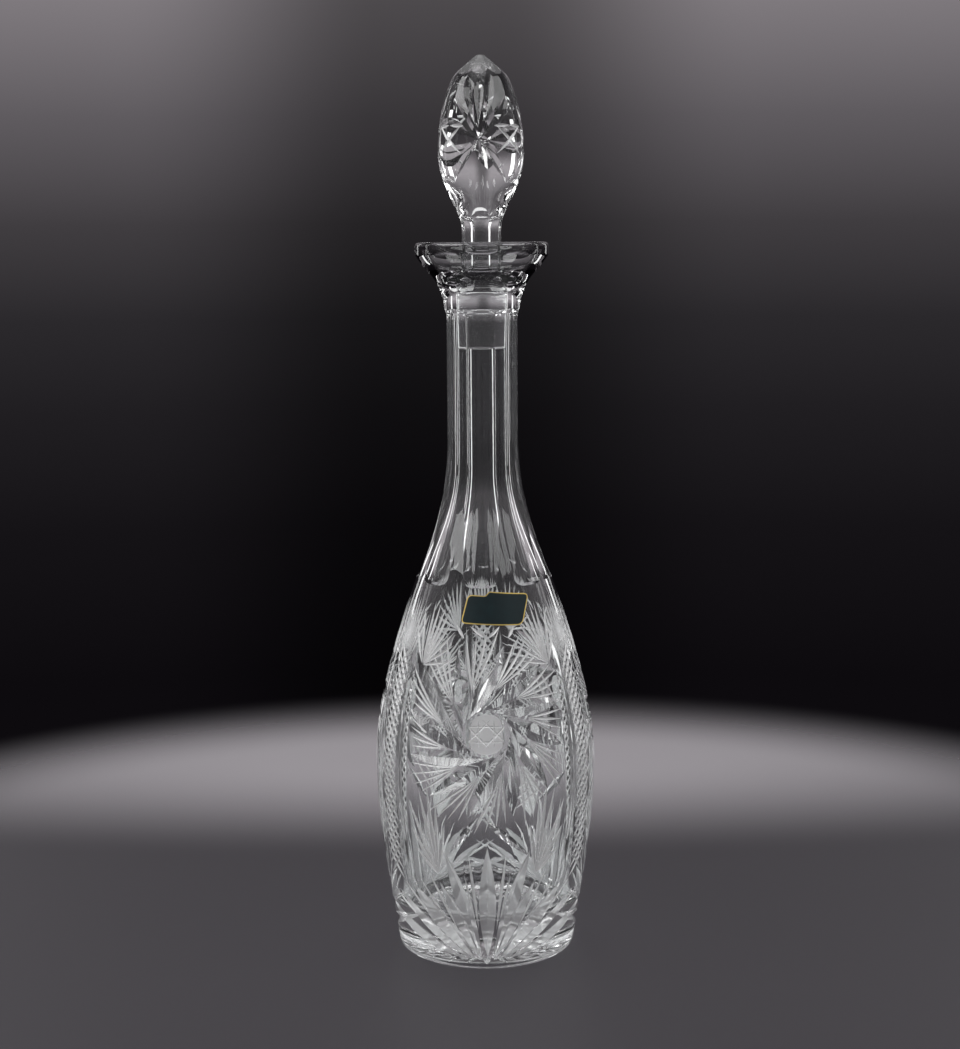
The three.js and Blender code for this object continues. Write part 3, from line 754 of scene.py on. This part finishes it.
# Each stroke is its start, its end, its width, its finish and the share at which it is deepest.
HEAD_STROKES = [
    ((-2, CROSS_HEIGHT - 1), (44, 381.5), 4.4, broad_cut, 0.5),
    ((-2, CROSS_HEIGHT + 1), (44, 345), 3.4, broad_cut, 0.55),
    ((0, CROSS_HEIGHT), (24, 357), 2.6, broad_cut, 0.5),
    ((23, 357), (68, 370), 1.6, fine_cut, 0.5),
    ((20, 369), (45, 369.5), 1.6, fine_cut, 0.5),
]
CREST = (-25, 0, 25)
CREST_GATHER = 0.12
CREST_ROOT = CROSS_HEIGHT + 4
CREST_TIP = 391.0
CREST_WIDTH = 4.6
CREST_DEEPEST = 0.66
TAIL_ROOT = CROSS_HEIGHT - 0.5
TAIL_TIP = 354.5
TAIL_WIDTH = 3.0
POINT_FACETS = 8
POINT_RADIUS = 1.6
POINT_SLOPE = 1.14

crystal_stopper, stopper_wire = spun("crystal_stopper", STOPPER_PROFILE, STOPPER_STEPS)
for material in (polished_skin, broad_cut, silver_cut, fine_cut):
    crystal_stopper.data.materials.append(material)
head_surface = surface_of(stopper_wire)

stopper_cuts = tray("stopper_cuts")
for i in range(STEM_FLUTES):
    flute(head_surface, stopper_cuts, HEAD_TURN + 360 * i / STEM_FLUTES, STEM_FLUTES, STEM_FLUTE_HALF,
        STEM_FLUTE_BOTTOM, STEM_FLUTE_TOP, STEM_RUN_LOW, STEM_RUN_HIGH, broad_cut)
for i in range(HEAD_PANELS):
    panel = HEAD_TURN + 360 * i / HEAD_PANELS
    for side in (-1, 1):
        for start, end, width, material, deepest in HEAD_STROKES:
            stroke(head_surface, stopper_cuts, panel, side, start, end, width, material, deepest)
    for azimuth in CREST:
        stroke(head_surface, stopper_cuts, panel, 1, (azimuth * CREST_GATHER, CREST_ROOT),
            (azimuth, CREST_TIP), CREST_WIDTH, broad_cut, CREST_DEEPEST)
    stroke(head_surface, stopper_cuts, panel, 1, (0, TAIL_ROOT), (0, TAIL_TIP), TAIL_WIDTH, broad_cut)
carve(crystal_stopper, stopper_cuts)
for groove in (mitre_groove, flute_groove):
    bpy.data.meshes.remove(groove.data)

deselect_all()
to_corner = 1 / math.cos(math.pi / POINT_FACETS)
point_depth = APEX - PLUG_BOTTOM + 1
bpy.ops.mesh.primitive_cone_add(vertices=POINT_FACETS, depth=point_depth * MM,
    radius1=(POINT_RADIUS + POINT_SLOPE * point_depth) * to_corner * MM,
    radius2=POINT_RADIUS * to_corner * MM, location=(0, 0, (APEX - point_depth / 2) * MM))
point_wheel = bpy.context.object
point_wheel.rotation_euler.z = math.radians(HEAD_TURN + 180 / POINT_FACETS)
point_wheel.data.materials.append(silver_cut)
pick(crystal_stopper)
facets = crystal_stopper.modifiers.new("facets", "BOOLEAN")
facets.operation = "INTERSECT"
facets.solver = "MANIFOLD"
facets.object = point_wheel
bpy.ops.object.modifier_apply(modifier=facets.name)
bpy.data.meshes.remove(point_wheel.data)
bpy.ops.object.shade_smooth_by_angle(angle=math.radians(CRISP_EDGE))
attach(crystal_stopper, "stopper")
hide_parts("stopper")


# Studio floor: a round sheet painted matt grey, with a painted pool of light, a paler band, behind
# the bottle. It fades out all round, so that no edge shows. Its sizes are in metres.

FLOOR_RADIUS = 1.2
FLOOR_SIDES = 96
FADE_START = 0.34
FADE_END = 0.48
FLOOR_GREY = "#38353A"
# The paler grey is a painted pool of light; the rest of the floor keeps its own matt grey.
PAINTED_POOL_GREY = "#A19DA1"
PAINTED_POOL_PLACE = (0, 0.3, 0)
PAINTED_POOL_SHAPE = (0.3, 1, 0)
PAINTED_POOL_CORE = 0.03
PAINTED_POOL_REACH = 0.19

deselect_all()
bpy.ops.mesh.primitive_circle_add(vertices=FLOOR_SIDES, radius=FLOOR_RADIUS, fill_type="NGON",
    location=(0, 0, 0))
floor = bpy.context.object
floor.name = "studio_floor"
floor_paint = empty_material("matt studio floor with a painted pool of light")
spot = add_node(floor_paint, "ShaderNodeTexCoord")
distance = add_node(floor_paint, "ShaderNodeVectorMath", {"operation": "LENGTH"},
    {"Vector": (spot, "Object")})
fade = add_node(floor_paint, "ShaderNodeMapRange", {"interpolation_type": "SMOOTHSTEP",
    "From Min": FADE_START, "From Max": FADE_END}, {"Value": (distance, "Value")})
# The painted pool of light: the floor is painted paler in a band behind the bottle, wide across.
behind = add_node(floor_paint, "ShaderNodeVectorMath", {"operation": "SUBTRACT", 1: PAINTED_POOL_PLACE},
    {0: (spot, "Object")})
wide = add_node(floor_paint, "ShaderNodeVectorMath", {"operation": "MULTIPLY", 1: PAINTED_POOL_SHAPE},
    {0: (behind, "Vector")})
off_painted_pool = add_node(floor_paint, "ShaderNodeVectorMath", {"operation": "LENGTH"},
    {"Vector": (wide, "Vector")})
painted_pool_fade = add_node(floor_paint, "ShaderNodeMapRange", {"interpolation_type": "SMOOTHSTEP",
    "From Min": PAINTED_POOL_CORE, "From Max": PAINTED_POOL_REACH}, {"Value": (off_painted_pool, "Value")})
floor_and_painted_pool = add_node(floor_paint, "ShaderNodeMixRGB", {"Color1": linear(PAINTED_POOL_GREY),
    "Color2": linear(FLOOR_GREY)}, {"Fac": (painted_pool_fade, "Result")})
paint = add_node(floor_paint, "ShaderNodeBsdfPrincipled", {"Roughness": 0.6},
    {"Base Color": (floor_and_painted_pool, "Color")})
gone = add_node(floor_paint, "ShaderNodeBsdfTransparent")
faded = add_node(floor_paint, "ShaderNodeMixShader", {},
    {"Fac": (fade, "Result"), 1: (paint, "BSDF"), 2: (gone, "BSDF")})
add_node(floor_paint, "ShaderNodeOutputMaterial", {}, {"Surface": (faded, "Shader")})
floor.data.materials.append(floor_paint)


# The studio round it: dark below, grey above and darker again in the middle behind the bottle. The
# tones go by how far a direction points up, as (place on the ramp, colour), and the dark spot by
# how far it is from straight back.

TONES = [(0.054, "#0D0B0E"), (0.115, "#151316"), (0.162, "#201E21"), (0.2, "#2B292C"),
    (0.238, "#403D40"), (0.281, "#5F5B5F"), (0.323, "#7D787C"), (0.4, "#A39EA2"), (0.48, "#A09B9F"),
    (0.56, "#8A868A"), (0.66, "#5A575A"), (0.8, "#5A575A"), (0.93, "#C4C2C4"), (1.0, "#E4E2E4")]
RAMP_START = -0.3
AWAY_FROM_BACK = (0.02, -1, 0)
SPOT_CORE = 0.03
SPOT_REACH = 0.17
SPOT_LIGHT = 0.35

world = bpy.data.worlds.new("dark studio")
world.use_nodes = True
world.node_tree.nodes.clear()
scene.world = world
way = add_node(world, "ShaderNodeTexCoord")
upward = add_node(world, "ShaderNodeSeparateXYZ", {}, {"Vector": (way, "Generated")})
up_the_ramp = add_node(world, "ShaderNodeMapRange", {"From Min": RAMP_START, "From Max": 1.0},
    {"Value": (upward, "Z")})
sky = add_node(world, "ShaderNodeValToRGB", {}, {"Fac": (up_the_ramp, "Result")})
for end, (place, colour) in zip(sky.color_ramp.elements, (TONES[0], TONES[-1])):
    end.position = place
    end.color = linear(colour)
for place, colour in TONES[1:-1]:
    sky.color_ramp.elements.new(place).color = linear(colour)
level = add_node(world, "ShaderNodeVectorMath", {"operation": "MULTIPLY_ADD", 1: (1, 1, 0),
    2: AWAY_FROM_BACK}, {0: (way, "Generated")})
off_back = add_node(world, "ShaderNodeVectorMath", {"operation": "LENGTH"},
    {"Vector": (level, "Vector")})
shade = add_node(world, "ShaderNodeMapRange", {"interpolation_type": "SMOOTHSTEP",
    "From Min": SPOT_CORE, "From Max": SPOT_REACH, "To Min": SPOT_LIGHT, "To Max": 1.0},
    {"Value": (off_back, "Value")})
glow = add_node(world, "ShaderNodeBackground", {},
    {"Color": (sky, "Color"), "Strength": (shade, "Result")})
add_node(world, "ShaderNodeOutputWorld", {}, {"Surface": (glow, "Background")})


# Soft boxes: two narrow pairs behind that draw light lines down the glass, a wide pair high in front
# and one above. Each is its name, place, what it faces, its width and height, and its watts.

SOFT_BOXES = [
    ("back strip left", (-0.66, 0.85, 0.36), (0, 0, 0.2), (0.14, 0.78), 0.5),
    ("side strip left", (-0.9, 0.32, 0.4), (0, 0, 0.2), (0.08, 0.7), 0.2),
    ("back strip right", (0.66, 0.85, 0.36), (0, 0, 0.2), (0.14, 0.78), 0.5),
    ("side strip right", (0.9, 0.32, 0.4), (0, 0, 0.2), (0.08, 0.7), 0.2),
    ("front box left", (-0.8, -0.38, 1.05), (0, 0, 0.15), (1.1, 0.6), 9.0),
    ("front box right", (0.8, -0.38, 1.05), (0, 0, 0.15), (1.1, 0.6), 5.5),
    ("top box", (0, 0.5, 1.1), (0, 0, 0), (0.6, 0.6), 1.0),
]

for name, place, target, size, power in SOFT_BOXES:
    bpy.ops.object.light_add(type="AREA", location=place)
    lamp = bpy.context.object
    lamp.name = name
    lamp.data.shape = "RECTANGLE"
    lamp.data.size, lamp.data.size_y = size
    lamp.data.energy = power
    lamp.visible_camera = False
    lamp.rotation_euler = (Vector(target) - Vector(place)).to_track_quat("-Z", "Y").to_euler()


# The camera: at the photograph's angle, as high as the lip and looking slightly down. Its focal
# length is in the photograph's pixels, and its place is in metres.

PHOTO_HEIGHT = 1049
PHOTO_FOCAL = 1831.85
SENSOR = 36.0
CAMERA_PLACE = (-0.00165, -0.8153, 0.3204)
LOOKS_DOWN = 8.797
CAMERA_ROLL = -0.44

camera_data = bpy.data.cameras.new("camera")
camera_data.sensor_width = SENSOR
camera_data.lens = SENSOR * PHOTO_FOCAL / PHOTO_HEIGHT
camera = bpy.data.objects.new("camera", camera_data)
scene.collection.objects.link(camera)
camera.matrix_world = (Matrix.Translation(CAMERA_PLACE)
    @ Matrix.Rotation(math.radians(90 - LOOKS_DOWN), 4, "X")
    @ Matrix.Rotation(math.radians(CAMERA_ROLL), 4, "Z"))
scene.camera = camera
scene.view_settings.view_transform = "Standard"
